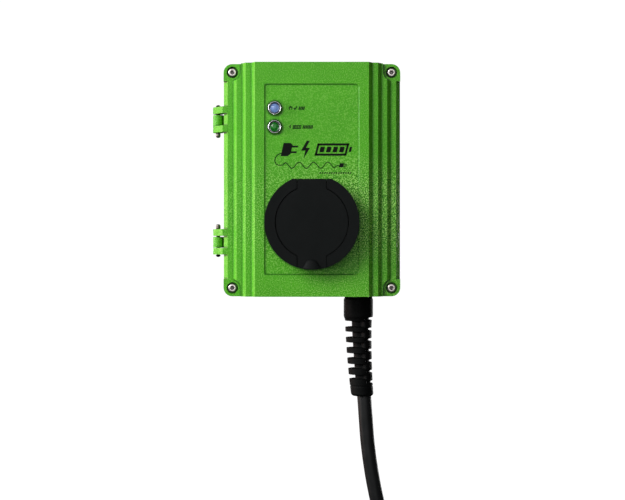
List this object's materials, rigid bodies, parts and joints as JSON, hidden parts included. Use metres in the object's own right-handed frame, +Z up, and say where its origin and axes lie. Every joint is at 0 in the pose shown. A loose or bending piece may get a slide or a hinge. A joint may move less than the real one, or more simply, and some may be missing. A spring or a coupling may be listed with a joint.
{
  "type": "ev charging wall box",
  "caption": "Wall-mounted electric vehicle charging box with a hinged stepped lid, a flap-covered round socket outlet, indicator lamps and a cable in a ribbed strain relief boot.",
  "frame": {"origin": "centre of the back face, which lies against the wall", "axes": "+X to the right as seen from the front, +Y into the wall, +Z up"},
  "size_m": [0.202, 0.1269, 0.5343],
  "materials": {
    "paint": "yellow-green powder coat with a fine hammer texture",
    "stainless": "plain stainless steel",
    "black_steel": "blackened spring steel",
    "chrome": "bright chrome plate",
    "zinc_steel": "zinc-plated steel",
    "brass": "plain brass",
    "silver_plate": "silver plate, satin",
    "matt_black": "matt black moulded plastic",
    "rubber": "black elastomer",
    "sheath": "satin black cable sheath",
    "grey_plastic": "light grey moulded plastic",
    "dark_plastic": "dark grey moulded plastic",
    "circuit_board": "green solder mask",
    "blue_lens": "milky blue lens, unlit",
    "green_lens": "deep green lens, unlit",
    "core_brown": "brown insulation",
    "core_black": "black insulation",
    "core_grey": "grey insulation",
    "core_blue": "blue insulation",
    "core_earth": "green and yellow insulation"
  },
  "bodies": {
    "housing": {"base_housing": "paint", "hinge_pin_upper": "stainless", "hinge_pin_lower": "stainless", "hinge_clip_upper": "black_steel", "hinge_clip_lower": "black_steel", "mounting_plate": "zinc_steel", "plate_screw_1": "zinc_steel", "plate_screw_2": "zinc_steel", "plate_screw_3": "zinc_steel", "plate_screw_4": "zinc_steel", "din_rail": "zinc_steel", "earth_stud": "brass", "earth_nut": "brass", "cable_gland": "matt_black", "gland_lock_nut": "matt_black", "gland_washer": "rubber", "strain_relief_boot": "rubber", "cable_sheath": "sheath", "contactor": "grey_plastic", "power_supply": "grey_plastic", "terminal_block": "grey_plastic", "current_sensor": "dark_plastic", "control_board": "circuit_board", "core_brown": "core_brown", "core_black": "core_black", "core_grey": "core_grey", "core_blue": "core_blue", "core_earth": "core_earth"},
    "lid": {"lid_cover": "paint", "lid_gasket": "rubber", "lid_screw_1": "stainless", "lid_screw_2": "stainless", "lid_screw_3": "stainless", "lid_screw_4": "stainless", "ready_lamp_bezel": "chrome", "ready_lamp_lens": "blue_lens", "ready_lamp_nut": "zinc_steel", "charging_lamp_bezel": "chrome", "charging_lamp_lens": "green_lens", "charging_lamp_nut": "zinc_steel", "socket_flange": "matt_black", "socket_gasket": "rubber", "socket_body": "matt_black", "socket_clamp_ring": "dark_plastic", "contact_earth": "silver_plate", "contact_neutral": "silver_plate", "contact_line_1": "silver_plate", "contact_line_2": "silver_plate", "contact_line_3": "silver_plate", "contact_pilot": "silver_plate", "contact_proximity": "silver_plate", "lock_actuator": "dark_plastic", "flap_hinge_pin": "black_steel"},
    "flap": {"socket_flap": "matt_black", "flap_seal": "rubber", "flap_spring": "black_steel"},
    "lock_pin": {"lock_pin": "stainless"}
  },
  "joints": [
    {"name": "lid_hinge", "type": "hinge", "parent": "housing", "child": "lid", "pos_m": [-0.0964, -0.069, 0], "axis": [0, 0, -1], "range_deg": [0, 120]},
    {"name": "socket_flap_hinge", "type": "hinge", "parent": "lid", "child": "flap", "pos_m": [0, -0.1199, -0.0041], "axis": [-1, 0, 0], "range_deg": [0, 110]},
    {"name": "lock_pin_slide", "type": "slide", "parent": "lid", "child": "lock_pin", "axis": [0, 0, -1], "range_m": [0, 0.006]}
  ]
}
